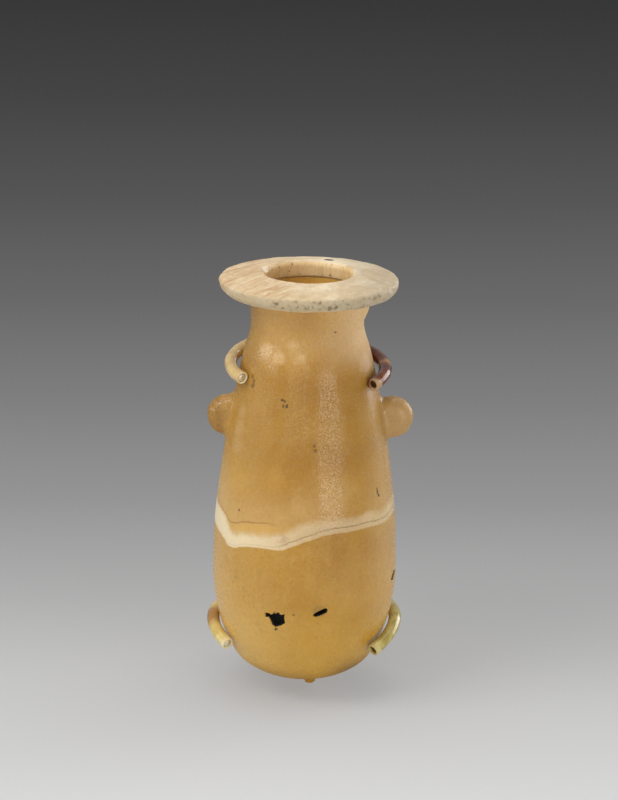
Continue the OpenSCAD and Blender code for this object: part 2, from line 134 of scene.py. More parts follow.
# %% A socket that takes part in expressions
class Flow:
    """A value on its way through a material's nodes."""

    def __init__(self, tree, socket):
        self.tree = tree
        self.socket = socket

    def add(self, kind, sockets, output=0, stops=(), points=(), **settings):
        node = self.tree.nodes.new(kind)
        for name, value in settings.items():
            setattr(node, name, value)
        if stops:
            ramp = node.color_ramp
            while len(ramp.elements) < len(stops):
                ramp.elements.new(1)
            for element, (position, colour) in zip(ramp.elements, stops):
                element.position = position
                element.color = colour
        if points:
            curve = node.mapping.curves[0]
            while len(curve.points) < len(points):
                curve.points.new(1, 1)
            for point, spot in zip(curve.points, points):
                point.location = spot
            node.mapping.update()
        for name, value in sockets.items():
            if isinstance(value, Flow):
                self.tree.links.new(value.socket, node.inputs[name])
            else:
                node.inputs[name].default_value = value
        return Flow(self.tree, node.outputs[output])

    def maths(self, operation, first, second):
        return self.add("ShaderNodeMath", {0: first, 1: second}, operation=operation)

    def __add__(self, other):
        return self.maths("ADD", self, other)

    def __radd__(self, other):
        return self.maths("ADD", other, self)

    def __sub__(self, other):
        return self.maths("SUBTRACT", self, other)

    def __rsub__(self, other):
        return self.maths("SUBTRACT", other, self)

    def __mul__(self, other):
        return self.maths("MULTIPLY", self, other)

    def __rmul__(self, other):
        return self.maths("MULTIPLY", other, self)

    def __abs__(self):
        return self.maths("ABSOLUTE", self, 0.0)

    def most(self, other):
        return self.maths("MAXIMUM", self, other)

    def step(self, low, high):
        """0 up to low, 1 from high on, and smooth between them; high may be the smaller."""
        return self.add("ShaderNodeMapRange", {"Value": self, "From Min": low, "From Max": high},
                        interpolation_type="SMOOTHSTEP")

    def axis(self, index):
        return self.add("ShaderNodeSeparateXYZ", {0: self}, output=index)

    def stretched(self, x, y, z):
        return self.add("ShaderNodeVectorMath", {0: self, 1: (x, y, z)}, operation="MULTIPLY")

    def away_from(self, x, y, z):
        return self.add("ShaderNodeVectorMath", {0: self, 1: (x, y, z)}, output="Value",
                        operation="DISTANCE")

    def grain(self, size, detail=2.0, roughness=0.5, distortion=0.0):
        """Cloudy noise from 0 to 1 with lumps of about that size, in millimetres."""
        return self.add("ShaderNodeTexNoise", {"Vector": self, "Scale": 1 / size, "Detail": detail,
                                               "Roughness": roughness, "Distortion": distortion})

    def mixed(self, first, second):
        """The first colour where this value is 0 and the second where it is 1."""
        return self.add("ShaderNodeMix", {0: self, 6: first, 7: second}, output=2, data_type="RGBA")


def tone(red, green, blue):
    """A colour as a screen shows it, 0 to 255, as the linear light that a shader takes."""
    shares = [value / 255 for value in (red, green, blue)]
    return (*(s / 12.92 if s <= 0.04045 else ((s + 0.055) / 1.055) ** 2.4 for s in shares), 1)


def painted(colour, layers):
    """A colour under named layers that are laid on in turn, each a mask and its colour."""
    for mask, over in layers.values():
        colour = mask.mixed(colour, over)
    return colour


class Finish:
    """A material with one Principled shader, and the place of each point in millimetres."""

    def __init__(self, name, **constants):
        self.material = bpy.data.materials.new(name)
        self.material.use_nodes = True
        tree = self.material.node_tree
        self.shader = tree.nodes["Principled BSDF"]
        for socket, value in constants.items():
            self.shader.inputs[socket.replace("_", " ")].default_value = value
        seed = Flow(tree, None)
        metres = seed.add("ShaderNodeTexCoord", {}, output="Object")
        self.spot = seed.add("ShaderNodeMapping", {"Vector": metres, "Location": tuple(-base / mm),
                                                   "Scale": (1 / mm,) * 3})

    def set(self, socket, value):
        self.shader.id_data.links.new(value.socket, self.shader.inputs[socket])

    def emboss(self, height, depth):
        """Raises the surface by a depth in millimetres where the height is 1."""
        self.set("Normal", height.add("ShaderNodeBump", {"Height": height, "Distance": depth * mm}))


print("shader tools ready")

# %% [markdown]
# ## Stage
# The floor is one pale sheet that darkens towards the back, as a paper sweep
# does under light that falls off. It is long enough to fill the camera's
# picture, so no horizon shows there. Half of its tone is its own glow to the
# camera, so the vessel's shadow under the round base stays as soft as it is on
# lit paper.

# %% Floor
floor_half, sweep_front, sweep_back, sweep_glow = 4.0, -150, 1250, 0.5
sweep_length = sweep_back - sweep_front
sweep_tones = ((-95, 213), (4, 194), (79, 173), (186, 146), (313, 124), (462, 102), (643, 83), (867, 66),
               (1149, 52))
bpy.ops.object.select_all(action="DESELECT")
bpy.ops.mesh.primitive_plane_add(size=2 * floor_half, location=(0, 0, cad_low.z))
floor = bpy.context.object
floor.name = "floor"
bpy.ops.object.transform_apply(location=True)
paper = Finish("paper_sweep", Roughness=0.9)
depth = (paper.spot.axis(1) - sweep_front) * (1 / sweep_length)
stops = [((y - sweep_front) / sweep_length, tone(value, value, value)) for y, value in sweep_tones]
grey = depth.add("ShaderNodeValToRGB", {"Fac": depth}, stops=stops)
paper.set("Base Color", grey)
glow = grey.add("ShaderNodeEmission", {"Color": grey})
rays = [grey.add("ShaderNodeLightPath", {}, output=f"Is {kind} Ray")
        for kind in ("Camera", "Glossy", "Transmission")]
seen = rays[0].most(rays[1]).most(rays[2]) * sweep_glow
lit = Flow(grey.tree, paper.shader.outputs[0])
surface = seen.add("ShaderNodeMixShader", {0: seen, 1: lit, 2: glow})
grey.tree.links.new(surface.socket, grey.tree.nodes["Material Output"].inputs["Surface"])
floor.data.materials.append(paper.material)
print("floor at", round(cad_low.z, 4))

# %% [markdown]
# ## Light
# The main soft box stands high on the left, where the stone's steep side can't
# mirror it. A low wide one there gleams on the shoulder alone. A box to the
# right of the camera draws the upright gleam on the stone and the white glints
# on the tubing, and one behind lights the right edge. One overhead lights the
# disc, a wide one near the camera fills the front, and the grey world opens the
# shadows.

# %% Soft boxes
lamp_aim = place(0, 0, 70)
world_grey = 0.4


def soft_box(name, turn, rise, distance, width, height, watts):
    """An area lamp that looks at the vessel's middle, turned to the right of the camera."""
    turn, rise = math.radians(turn), math.radians(rise)
    way = Vector((math.sin(turn) * math.cos(rise), -math.cos(turn) * math.cos(rise), math.sin(rise)))
    bpy.ops.object.light_add(type="AREA", location=lamp_aim + way * distance)
    lamp = bpy.context.object
    lamp.name = name
    lamp.rotation_mode = "QUATERNION"
    lamp.rotation_quaternion = way.to_track_quat("Z", "Y")
    lamp.data.shape = "RECTANGLE"
    lamp.data.size, lamp.data.size_y = width, height
    lamp.data.energy = watts


soft_box("strip_box", turn=34, rise=3, distance=0.6, width=0.35, height=0.26, watts=0.84)
soft_box("main_box", turn=-58, rise=46, distance=1.0, width=0.6, height=0.5, watts=4.0)
soft_box("shoulder_box", turn=-80, rise=10.5, distance=1.2, width=1.2, height=0.14, watts=1.9)
soft_box("front_box", turn=-14, rise=12, distance=1.4, width=0.9, height=0.4, watts=1.6)
soft_box("edge_box", turn=128, rise=10, distance=0.9, width=0.5, height=0.6, watts=3.2)
soft_box("top_box", turn=180, rise=82, distance=1.0, width=0.9, height=0.7, watts=3.1)
world = bpy.data.worlds.new("studio")
world.use_nodes = True
world.node_tree.nodes["Background"].inputs["Color"].default_value = (world_grey, world_grey, world_grey, 1)
bpy.context.scene.world = world

# %% [markdown]
# ## The vessel's outline
# The side passes a few measured stations and bends smoothly between them, with
# no swing past any of them. The base is a rounded square curve that closes on
# the axis. The hollow follows the outside at the wall's thickness.

# %% Outline of the vessel
belly_z, belly_r = 42.1, 27.55
stations = ((belly_z, belly_r), (72.0, 24.7), (92.0, 21.1), (100.5, 19.35), (110.2, 17.1), (neck_top, 18.1))
base_turn, base_fullness, base_crowding, neck_flare = 2.9, 2.7, 3, 1.5
wall, floor_thickness, neck_bore_r = 4.2, 8.0, 13.4
spigot_r, spigot_top = 16.0, 121.1


def secant(i):
    """How fast the outline widens from one station to the next."""
    return (stations[i + 1][1] - stations[i][1]) / (stations[i + 1][0] - stations[i][0])


def slope(i):
    """The outline's slope at a station: flat at the belly, and level at each turn."""
    if i == 0:
        return 0
    if i == len(stations) - 1:
        return secant(i - 1) * neck_flare
    before, after = secant(i - 1), secant(i)
    return 2 * before * after / (before + after) if before * after > 0 else 0


def side_radius(z):
    """The outline above the belly: a smooth cubic between two stations."""
    i = max(k for k in range(len(stations) - 1) if k == 0 or stations[k][0] <= z)
    (z0, r0), (z1, r1) = stations[i], stations[i + 1]
    h = z1 - z0
    t = (z - z0) / h
    return ((2 * t**3 - 3 * t**2 + 1) * r0 + (t**3 - 2 * t**2 + t) * slope(i) * h
            + (3 * t**2 - 2 * t**3) * r1 + (t**3 - t**2) * slope(i + 1) * h)


def bowl(share):
    """The round base's width, as a share of the belly's, at a share of its height."""
    return (1 - (1 - share) ** base_turn) ** (1 / base_fullness)


def stone_radius(z):
    return belly_r * bowl(z / belly_z) if z < belly_z else side_radius(z)


def hollow_radius(z):
    if z < belly_z:
        return (belly_r - wall) * bowl((z - floor_thickness) / (belly_z - floor_thickness))
    return max(neck_bore_r, side_radius(z) - wall)


def heights(low, base_steps, side_steps):
    """Heights from a low point to the neck's top, closer together in the round base."""
    below = [low + (belly_z - low) * (k / base_steps) ** base_crowding for k in range(base_steps)]
    return below + [belly_z + (neck_top - belly_z) * k / side_steps for k in range(side_steps + 1)]


outside = [(stone_radius(z), z) for z in heights(low=0, base_steps=30, side_steps=44)]
spigot = [(spigot_r, neck_top), (spigot_r, spigot_top), (neck_bore_r, spigot_top)]
inside = [(hollow_radius(z), z) for z in heights(low=floor_thickness, base_steps=18, side_steps=28)]
print("widest", 2 * belly_r, "mm, neck", 2 * min(r for z, r in stations), "mm")

# %% [markdown]
# ## Turning on a lathe
# Round pieces start as one vertex that is extruded along its outline and spun
# about the vessel's axis, which is how the stone itself was shaped. The other
# tools here give a piece an even skin, lumps, shading and its finish.

# %% Lathe and other bench tools
weld = 0.001 * mm


def only(piece):
    """Makes a piece the one that is selected and active."""
    bpy.ops.object.select_all(action="DESELECT")
    piece.select_set(True)
    bpy.context.view_layer.objects.active = piece


def tidy_mesh():
    """In edit mode: closes seams and poles, and turns all faces outwards."""
    bpy.ops.mesh.select_all(action="SELECT")
    bpy.ops.mesh.remove_doubles(threshold=weld)
    bpy.ops.mesh.normals_make_consistent(inside=False)


def lathe(name, outline, steps):
    """Spins an outline of (radius, height) points about the vessel's axis."""
    bpy.ops.object.select_all(action="DESELECT")
    bpy.ops.mesh.primitive_plane_add(size=mm, location=place(outline[0][0], 0, outline[0][1]))
    piece = bpy.context.object
    piece.name = name
    bpy.ops.object.transform_apply(location=True)
    bpy.ops.object.mode_set(mode="EDIT")
    bpy.ops.mesh.select_mode(type="VERT")
    bpy.ops.mesh.merge(type="CENTER")
    for (r0, z0), (r1, z1) in zip(outline, outline[1:]):
        reach = ((r1 - r0) * mm, 0, (z1 - z0) * mm)
        bpy.ops.mesh.extrude_region_move(TRANSFORM_OT_translate={"value": reach})
    bpy.ops.mesh.select_all(action="SELECT")
    bpy.ops.mesh.spin(steps=steps, angle=math.tau, center=base, axis=(0, 0, 1))
    tidy_mesh()
    bpy.ops.object.mode_set(mode="OBJECT")
    return piece


def modified(piece, kind, **settings):
    """Adds a modifier with its settings and applies it."""
    only(piece)
    modifier = piece.modifiers.new(kind.lower(), kind)
    for name, value in settings.items():
        setattr(modifier, name, value)
    bpy.ops.object.modifier_apply(modifier=modifier.name)


def reskinned(piece, voxel, passes):
    """Gives a piece one even skin, as fine as the voxel in millimetres, and smooths it."""
    modified(piece, "REMESH", mode="VOXEL", voxel_size=voxel * mm)
    modified(piece, "SMOOTH", factor=0.5, iterations=passes)


def moved(piece, shift):
    """Moves each vertex along its normal, in millimetres, by what shift(spot) gives there."""
    starts = [(vertex.co.copy(), vertex.normal.copy()) for vertex in piece.data.vertices]
    for vertex, (co, normal) in zip(piece.data.vertices, starts):
        vertex.co = co + normal * shift((co - base) / mm) * mm
    piece.data.update()


def lumpy(spot, lumps):
    """Smooth lumps at a spot, given as their sizes and rises."""
    return sum(noise.noise(spot / size) * rise for size, rise in lumps)


def eased(share):
    """A smooth hump: 1 in the middle, where the share is 0, and 0 from a share of 1 on."""
    near = max(0, 1 - abs(share))
    return near**2 * (3 - 2 * near)


def shaded(piece, crease):
    """Shades a piece smooth, apart from edges that bend more than the crease in degrees."""
    only(piece)
    bpy.ops.object.shade_smooth_by_angle(angle=math.radians(crease))


def finished(piece, material, slot, body, *nodes):
    """Gives a piece its finish, and lets it ride on its body in place of its nodes."""
    piece.data.materials.clear()
    piece.data.materials.append(material)
    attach(piece, body)
    if nodes:
        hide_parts(*nodes)
    print(piece.name, len(piece.data.polygons), "faces")


# %% [markdown]
# ## Honey stone
# The body is banded calcite. Light goes a little way in, so the shader has some
# subsurface scattering. Cloudy amber and honey tones fill it, and one white
# layer crosses it nearly level. Its lower edge is crisp and its upper edge
# soft, and both are curves drawn round the vessel. A crack runs in the
# white, a thin brown line lies above it on the left, and small pores, flecks
# and scratches break up the gleam. Every mark is a named layer over the base.

# %% Honey stone
vein_edge = ((-180, 51.5), (-110, 50.5), (-75, 48.2), (-60, 46.4), (-54, 45.0), (-44, 46.1), (-25, 47.3),
             (-18, 47.2), (-10, 48.4), (5, 51.0), (22, 52.6), (40, 52.6), (63, 52.4), (77, 53.1), (110, 53.8),
             (180, 51.5))
vein_thickness = ((-180, 4.5), (-90, 7.4), (-65, 7.2), (-46, 4.4), (-30, 4.3), (-12, 6.2), (10, 5.2),
                  (60, 4.9), (90, 5.0), (180, 4.5))
flecks = ((-7.3, 91.9, 0.5), (-6.6, 91.5, 0.45), (-6.9, 90.1, 0.5), (-5.9, 90.2, 0.6), (21.5, 62.2, 0.5),
          (21.9, 61.2, 0.6), (-19.6, 57.0, 0.4), (-8.6, 27.9, 0.4), (-8.2, 22.2, 0.55), (-3.1, 27.4, 0.35),
          (8.2, 111.4, 0.4))
stains = ((-16.2, 96.7, 0.9), (-15.8, 95.6, 1.0), (-15.9, 94.6, 0.9), (-16.2, 94.0, 1.0), (2.4, 79.0, 0.8),
          (2.7, 77.6, 0.8), (21.3, 63.2, 0.7))
# Painted highlights: pale spots for the lamps' gleam on the left flank and shoulder, as x, height and radius.
painted_highlights = ((-19.2, 86, 3.2), (-20.0, 81, 3.6), (-20.6, 75.5, 4.2), (-4.2, 108, 3.6), (-2.0, 104.5, 3.4),
          (-12.0, 105.2, 3.2), (-8.6, 103.8, 3.0))
fleck_wobble = 1.8
smudge_spot = (-6.3, -26.6, 50.6)
# Where painted shade lies on the slope above the gouge.
gouge_shade_spot = (4.7, -26.8, 28.6)
# Where the lower right tubing's glow is painted onto the stone.
tubing_glow_spot = (19.5, -16.0, 17.0)


def drawn(turn, knots, low, span):
    """A curve drawn round the vessel, as (turn, value) knots."""
    share = turn * (1 / 360) + 0.5
    points = [(0.5 + at / 360, (value - low) / span) for at, value in knots]
    return turn.add("ShaderNodeFloatCurve", {"Value": share}, points=points) * span + low


def fleck_mask(spot, ragged, places, softness, radius_at=stone_radius):
    """1 in small spots on the front of a round form, given as x, height and radius."""
    total = None
    for x, z, size in places:
        y = -math.sqrt(radius_at(z) ** 2 - x**2)
        away = spot.away_from(x, y, z) + (ragged - 0.5) * fleck_wobble
        mask = away.step(size, size * (1 - softness))
        total = mask if total is None else total.most(mask)
    return total


def honey_stone():
    stone = Finish("honey_stone", IOR=1.5, Subsurface_Weight=0.35, Subsurface_Scale=3 * mm,
                   Subsurface_Radius=(1.0, 0.55, 0.2))
    spot = stone.spot
    x, y, z = (spot.axis(k) for k in range(3))
    turn = x.maths("ARCTAN2", x, y * -1) * (180 / math.pi)
    radius = spot.stretched(1, 1, 0).away_from(0, 0, 0)
    clouds = spot.grain(24, detail=3, distortion=0.6)
    patches = spot.grain(7, detail=4)
    fine = spot.grain(0.5, detail=3, roughness=0.65)
    ragged = spot.grain(1.1, detail=3)
    mottle = spot.grain(1.0, detail=3, roughness=0.62)
    pitted = spot.grain(0.45, detail=2, roughness=0.6).step(0.45, 0.62)
    drips = spot.stretched(1, 1, 0.12).grain(3, detail=3)

    above = z - drawn(turn, vein_edge, low=43, span=14) - (patches - 0.5) * 0.9
    thickness = drawn(turn, vein_thickness, low=0, span=10)
    top = above - thickness - (patches - 0.5) * 3 - (ragged - 0.5) * 1.2
    vein = above.step(-0.25, 0.3) * top.step(0.8, -2.1) * (0.47 + turn.step(12, -50) * 0.53)
    lugs = radius.step(24.5, 27) * z.step(72, 76)
    crack_way = above - 0.75 - turn.step(-24, -10) * 0.85 - (ragged - 0.5) * 0.5
    crack = abs(crack_way).step(0.28, 0.06) * (0.3 + turn.step(-22, -8) * 0.7)
    crack = crack * (0.3 + fine.step(0.3, 0.6) * 0.7)
    smudge = spot.away_from(*smudge_spot) + (ragged - 0.5) * 3
    brown_way = abs(above - 7.5 - (clouds - 0.5) * 3)
    brown_line = brown_way.step(0.32, 0.1) * turn.step(-12, -30) * turn.step(-120, -90)
    glow = top.step(-1, 0.5) * above.step(8, 6.5) * turn.step(-5, -30)
    hairs = abs(spot.stretched(1, 1, 0.5).grain(2.2, detail=3) - 0.5).step(0.014, 0.004)
    scratches = hairs * patches.step(0.46, 0.6) * (0.25 + x.step(4, -12) * z.step(44, 34) * 0.75)
    pores = spot.grain(0.7, detail=3, roughness=0.6).step(0.63, 0.7)
    brown = fleck_mask(spot, fine * 0.4 + 0.3, stains, 0.7)
    dark = fleck_mask(spot, fine, flecks, 0.45)
    gouge_shade = spot.away_from(*gouge_shade_spot) + (ragged - 0.5) * 1.5

    amber, honey, pale = tone(176, 124, 30), tone(190, 141, 48), tone(212, 170, 94)
    lug_tones = x.step(-5, 5).mixed(tone(140, 102, 40), tone(186, 150, 96))
    over_vein = above.step(2, 5) * above.step(22, 8) * (0.3 - x.step(8, 16) * 0.2)
    stone.set("Base Color", painted(clouds.step(0.36, 0.66).mixed(amber, honey), {
        "pale patches": (patches.step(0.48, 0.78) * 0.3, pale),
        # Painted highlight: pale spots where the lamps on the left gleam on the flank and shoulder.
        "painted_highlights": (fleck_mask(spot, patches * 3 - 1, painted_highlights, 0.9) * 0.6, tone(232, 196, 142)),
        "drips": (drips.step(0.5, 0.75) * 0.14, pale),
        # The paler left side is partly the stone's own tone and partly painted light from the lamps on the
        # left.
        "pale left": (x.step(2, -26) * 0.45, pale),
        "dark band at the lugs": (z.step(66, 76) * z.step(103, 95) * 0.3, tone(150, 104, 34)),
        "pale over the vein": (over_vein, tone(228, 192, 132)),
        "pale neck": (z.step(97, 108) * (0.2 + x.step(2, 16) * 0.7), tone(230, 194, 142)),
        # Painted shade: the left of the shoulder is darkened where the disc shades it.
        "painted shade on the left shoulder": (z.step(95, 102) * x.step(-11, -17) * 0.38, tone(140, 100, 40)),
        # Painted highlight: the right edge of the shoulder is lightened where the lamp behind gleams.
        "painted highlight on the right edge": (x.step(15, 25) * z.step(108, 98) * 0.45, tone(216, 180, 124)),
        # Painted light: the left edge below the lug is lightened, as the stone's lit edges are.
        "painted light on the left edge": (x.step(-19, -27) * z.step(76, 60) * 0.35, tone(226, 192, 134)),
        "pale under the vein": (z.step(48, 40) * z.step(24, 32) * x.step(4, 14) * 0.3, tone(222, 178, 100)),
        # The lower body is yellower in tone, and also brightened as painted light bounced up from the floor.
        "yellower base and painted floor light": (z.step(42, 6) * 0.6, tone(230, 182, 76)),
        # Painted light: the lower left is lightened as if lit from low on the left.
        "painted light on the lower left": (z.step(44, 14) * x.step(4, -22) * 0.4, tone(236, 200, 128)),
        "amber bottom": (z.step(10, 3) * 0.5, tone(196, 142, 34)),
        # Painted shadow: the right of the bottom is darkened where the lower right hook's tubing shades it.
        "painted shadow of the right hook": (z.step(13, 4) * x.step(4, 15) * 0.7, tone(112, 72, 6)),
        # Painted reflected light: a warm glow from the lower right tubing on the stone beside it.
        "painted glow from the right hook": (spot.away_from(*tubing_glow_spot).step(5, 1.5) * 0.45, tone(204, 146, 26)),
        "light mottle": (mottle.step(0.5, 0.8) * 0.22, tone(232, 192, 126)),
        "dark mottle": (mottle.step(0.5, 0.2) * 0.22, tone(140, 96, 24)),
        "lugs": (lugs * 0.55, lug_tones),
        "tiny pits": (pitted * 0.1, tone(116, 80, 28)),
        "glow over the vein": (glow * 0.6, tone(218, 172, 88)),
        "pores": (pores * 0.16, tone(104, 70, 30)),
        "scratches": (scratches * 0.4, tone(116, 80, 36)),
        "vein": (vein * (0.8 + fine * 0.25), tone(240, 222, 184)),
        "smudge": (smudge.step(2.4, 0.2) * 0.3, tone(140, 104, 58)),
        "crack": (crack * 0.7, tone(122, 96, 56)),
        "brown line": (brown_line * 0.6, tone(150, 104, 48)),
        # Painted light: the inside of the neck is brightened as if lit through the stone.
        "painted light inside the neck": (radius.step(15.6, 14.6) * z.step(96, 104), tone(240, 192, 98)),
        "brown stains": (brown * 0.75, tone(112, 78, 30)),
        "dark flecks": (dark * 0.9, tone(52, 38, 24)),
        # Painted shade on the shadowed slope above the gouge.
        "halo at the gouge": (gouge_shade.step(2.5, 1.7) * 0.35, tone(124, 104, 58)),
    }))
    worn_base = z.step(16, 4) * 0.4
    worn_neck = z.step(101, 105) * x.step(-2, 6) * 0.25 + z.step(90, 97) * x.step(12, 17) * 0.2
    grainy = pitted * 0.34 + patches.step(0.4, 0.7) * 0.16
    stone.set("Roughness", 0.08 + grainy + vein * 0.2 + worn_base + worn_neck)
    stone.emboss(ragged * 0.3 - pitted * 0.5 - pores - crack * 0.8 - dark, 0.045)
    return stone.material


def pit_black():
    pitch = Finish("pit_black", Roughness=0.8)
    lumps = pitch.spot.grain(0.6, detail=3)
    pitch.set("Base Color", lumps.step(0.3, 0.8).mixed(tone(6, 5, 4), tone(20, 15, 10)))
    pitch.emboss(lumps, 0.2)
    return pitch.material


honey, pitch = honey_stone(), pit_black()
print("finishes:", honey.name, pitch.name)

# %% [markdown]
# ## Body
# The turned blank, the two lugs and the nub are joined into one skin by a voxel
# remesh. Smoothing that skin rubs the corners between them round, as the
# carver's sand did.

# %% Lugs and nub
lug_z, lug_height, lug_thickness, lug_sides = 81.5, 11.6, 7.6, 48
lug_overlap, lug_rounding = wall * 0.6, lug_thickness * 0.4
left_lug_out, left_flats = 6.3, ((-90, 5.2), (28, 5.6))
right_lug_out, right_flats = 8.3, ((-55, 5.6),)
corner_width, corner_height, corner_turn = 6.6, 6.4, -7
corner_inset, corner_lift, corner_rounding = 0.9, 0.7, lug_thickness * 0.28
sharp_angle, rounding_segments = 60, 5
nub_x, nub_length, nub_tip_r, nub_root_r, nub_sides = 2.1, 3.6, 1.6, 3.2, 32
body_spins, body_voxel, body_passes = 128, 0.74, 4


def lug_form(add, **settings):
    """Adds one of the forms that make up a lug, with its place in its mesh."""
    bpy.ops.object.select_all(action="DESELECT")
    add(**settings)
    bpy.ops.object.transform_apply(location=True, rotation=True, scale=True)
    bpy.ops.object.mode_set(mode="EDIT")


def rounded(offset):
    """In edit mode: rounds the sharp edges."""
    bpy.ops.mesh.select_all(action="DESELECT")
    bpy.ops.mesh.edges_select_sharp(sharpness=math.radians(sharp_angle))
    bpy.ops.mesh.bevel(offset=offset * mm, segments=rounding_segments, affect="EDGES")
    tidy_mesh()
    bpy.ops.object.mode_set(mode="OBJECT")
    return bpy.context.object


def lug(side, out, flats):
    """A round knob that stands out of the side, with flats cut at (turn, distance)."""
    lug_root = out - lug_height / 2 + lug_overlap
    middle = place(side * (stone_radius(lug_z) + out - lug_height / 2), 0, lug_z)
    lug_form(bpy.ops.mesh.primitive_cylinder_add, vertices=lug_sides, radius=lug_height / 2 * mm,
             depth=lug_thickness * mm, location=middle, rotation=(math.pi / 2, 0, 0))
    for turn, distance in flats + ((180, lug_root),):
        way = Vector((side * math.cos(math.radians(turn)), 0, math.sin(math.radians(turn))))
        bpy.ops.mesh.select_all(action="SELECT")
        bpy.ops.mesh.bisect(plane_co=middle + way * distance * mm, plane_no=way, use_fill=True,
                            clear_outer=True)
    return rounded(lug_rounding)


def square_corner():
    """The fuller lower corner of the left lug."""
    outer = stone_radius(lug_z) + left_lug_out - corner_inset
    low = lug_z - lug_height / 2 + corner_lift
    lug_form(bpy.ops.mesh.primitive_cube_add, size=1, rotation=(0, math.radians(corner_turn), 0),
             location=place(corner_width / 2 - outer, 0, low + corner_height / 2),
             scale=(corner_width * mm, lug_thickness * mm, corner_height * mm))
    return rounded(corner_rounding)


def nub():
    """The small nub under the base, half of it sunk in the stone."""
    bpy.ops.object.select_all(action="DESELECT")
    bpy.ops.mesh.primitive_cone_add(vertices=nub_sides, radius1=nub_tip_r * mm, radius2=nub_root_r * mm,
                                    depth=2 * nub_length * mm, location=place(nub_x, 0, 0))
    bpy.ops.object.transform_apply(location=True)
    return bpy.context.object


body = lathe("vessel_body", outside + spigot + inside[::-1], body_spins)
right_lug = lug(1, right_lug_out, right_flats)
left_lug = lug(-1, left_lug_out, left_flats)
additions = [right_lug, left_lug, square_corner(), nub()]
only(body)
for addition in additions:
    addition.select_set(True)
bpy.ops.object.join()
reskinned(body, body_voxel, body_passes)
print("body skin:", len(body.data.vertices), "vertices")

# %% [markdown]
# ## Rubbing
# Low lumps keep the surface from looking machined. The outline isn't true all
# round either: the right of the neck is knocked in below a swelling, and the
# belly and the base are a little fuller than a plain curve. A Displace modifier
# could raise the lumps, but a formula over the vertices also says where they
# stop and where the outline departs.

# %% Rubbed surface
carved_lumps = ((19, 0.13), (6, 0.025))
calm_gap, calm_reach = 1, 4
knocks = ((Vector((17.2, -2, 109.5)), 7, -0.7), (Vector((17.8, -3, 116)), 6, 0.8))
swells = ((31, 14, 0.35), (7, 5, 0.35))


def rubbed(spot):
    """Low lumps from carving and rubbing, none under the disc, and where the outline isn't true."""
    fade = min(1, max(0, (neck_top - calm_gap - spot.z) / calm_reach))
    low = lumpy(spot, carved_lumps)
    knocked = sum(rise * eased((spot - middle).length / reach) for middle, reach, rise in knocks)
    swollen = sum(rise * eased((spot.z - middle) / reach) for middle, reach, rise in swells)
    on_outside = math.hypot(spot.x, spot.y) > stone_radius(max(0, min(neck_top, spot.z))) - wall / 2
    return low * fade + (knocked + swollen if on_outside else 0)


moved(body, rubbed)
body.data.materials.append(honey)
body.data.materials.append(pitch)
print("rubbed")

# %% [markdown]
# ## Pits
# The broken-out pits come last. Their outlines lie flat on the skin, across and
# up from a turn and a height. The patches of skin are divided finely and pushed
# in, which is far quicker than cutting this many faces with a Boolean.

# %% Pits
ragged_pit = ((-3.3, 1.7), (-2.0, 1.7), (-1.3, 1.3), (-0.8, 1.7), (-0.6, 2.3), (0.0, 1.7), (0.5, 2.3),
              (1.1, 2.3), (1.4, 1.8), (2.1, 1.7), (2.9, 2.0), (2.7, 1.0), (2.9, -1.0), (1.8, -1.8),
              (-0.2, -2.6), (-1.2, -1.9), (-1.7, -0.5), (-2.1, 0.3), (-3.3, 0.4))
gouge = ((-2.2, -0.9), (-1.3, -1.3), (0.5, -0.8), (1.8, -0.2), (2.3, 0.7), (2.0, 1.3), (0.9, 1.2),
         (-0.6, 0.5), (-1.9, -0.3))
slit = ((-2.6, -1.0), (-1.8, -1.3), (0.4, -1.2), (1.4, -0.5), (2.4, 0.3), (2.7, 1.0), (2.0, 1.3),
        (0.0, 1.2), (-1.0, 0.6), (-2.1, -0.2))
pits = ((ragged_pit, -18, 25.5), (gouge, 10.4, 28.2), (slit, 76, 33.6))
pit_depth, pit_margin, pit_steepness, pit_cuts = 2.8, 0.6, 6, 3
pit_reach, dark_from, dark_depth = wall * 0.7, 0.03, pit_depth * 1.4
body_crease = 40


def depth_inside(outline, across, up):
    """How far a point lies inside a closed outline, or less than 0 outside it."""
    inside, nearest = False, math.inf
    for (a0, u0), (a1, u1) in zip(outline, outline[1:] + outline[:1]):
        if (u0 > up) != (u1 > up) and across < a0 + (up - u0) * (a1 - a0) / (u1 - u0):
            inside = not inside
        run, rise = a1 - a0, u1 - u0
        share = min(1, max(0, ((across - a0) * run + (up - u0) * rise) / (run**2 + rise**2)))
        nearest = min(nearest, math.hypot(across - a0 - share * run, up - u0 - share * rise))
    return nearest if inside else -nearest


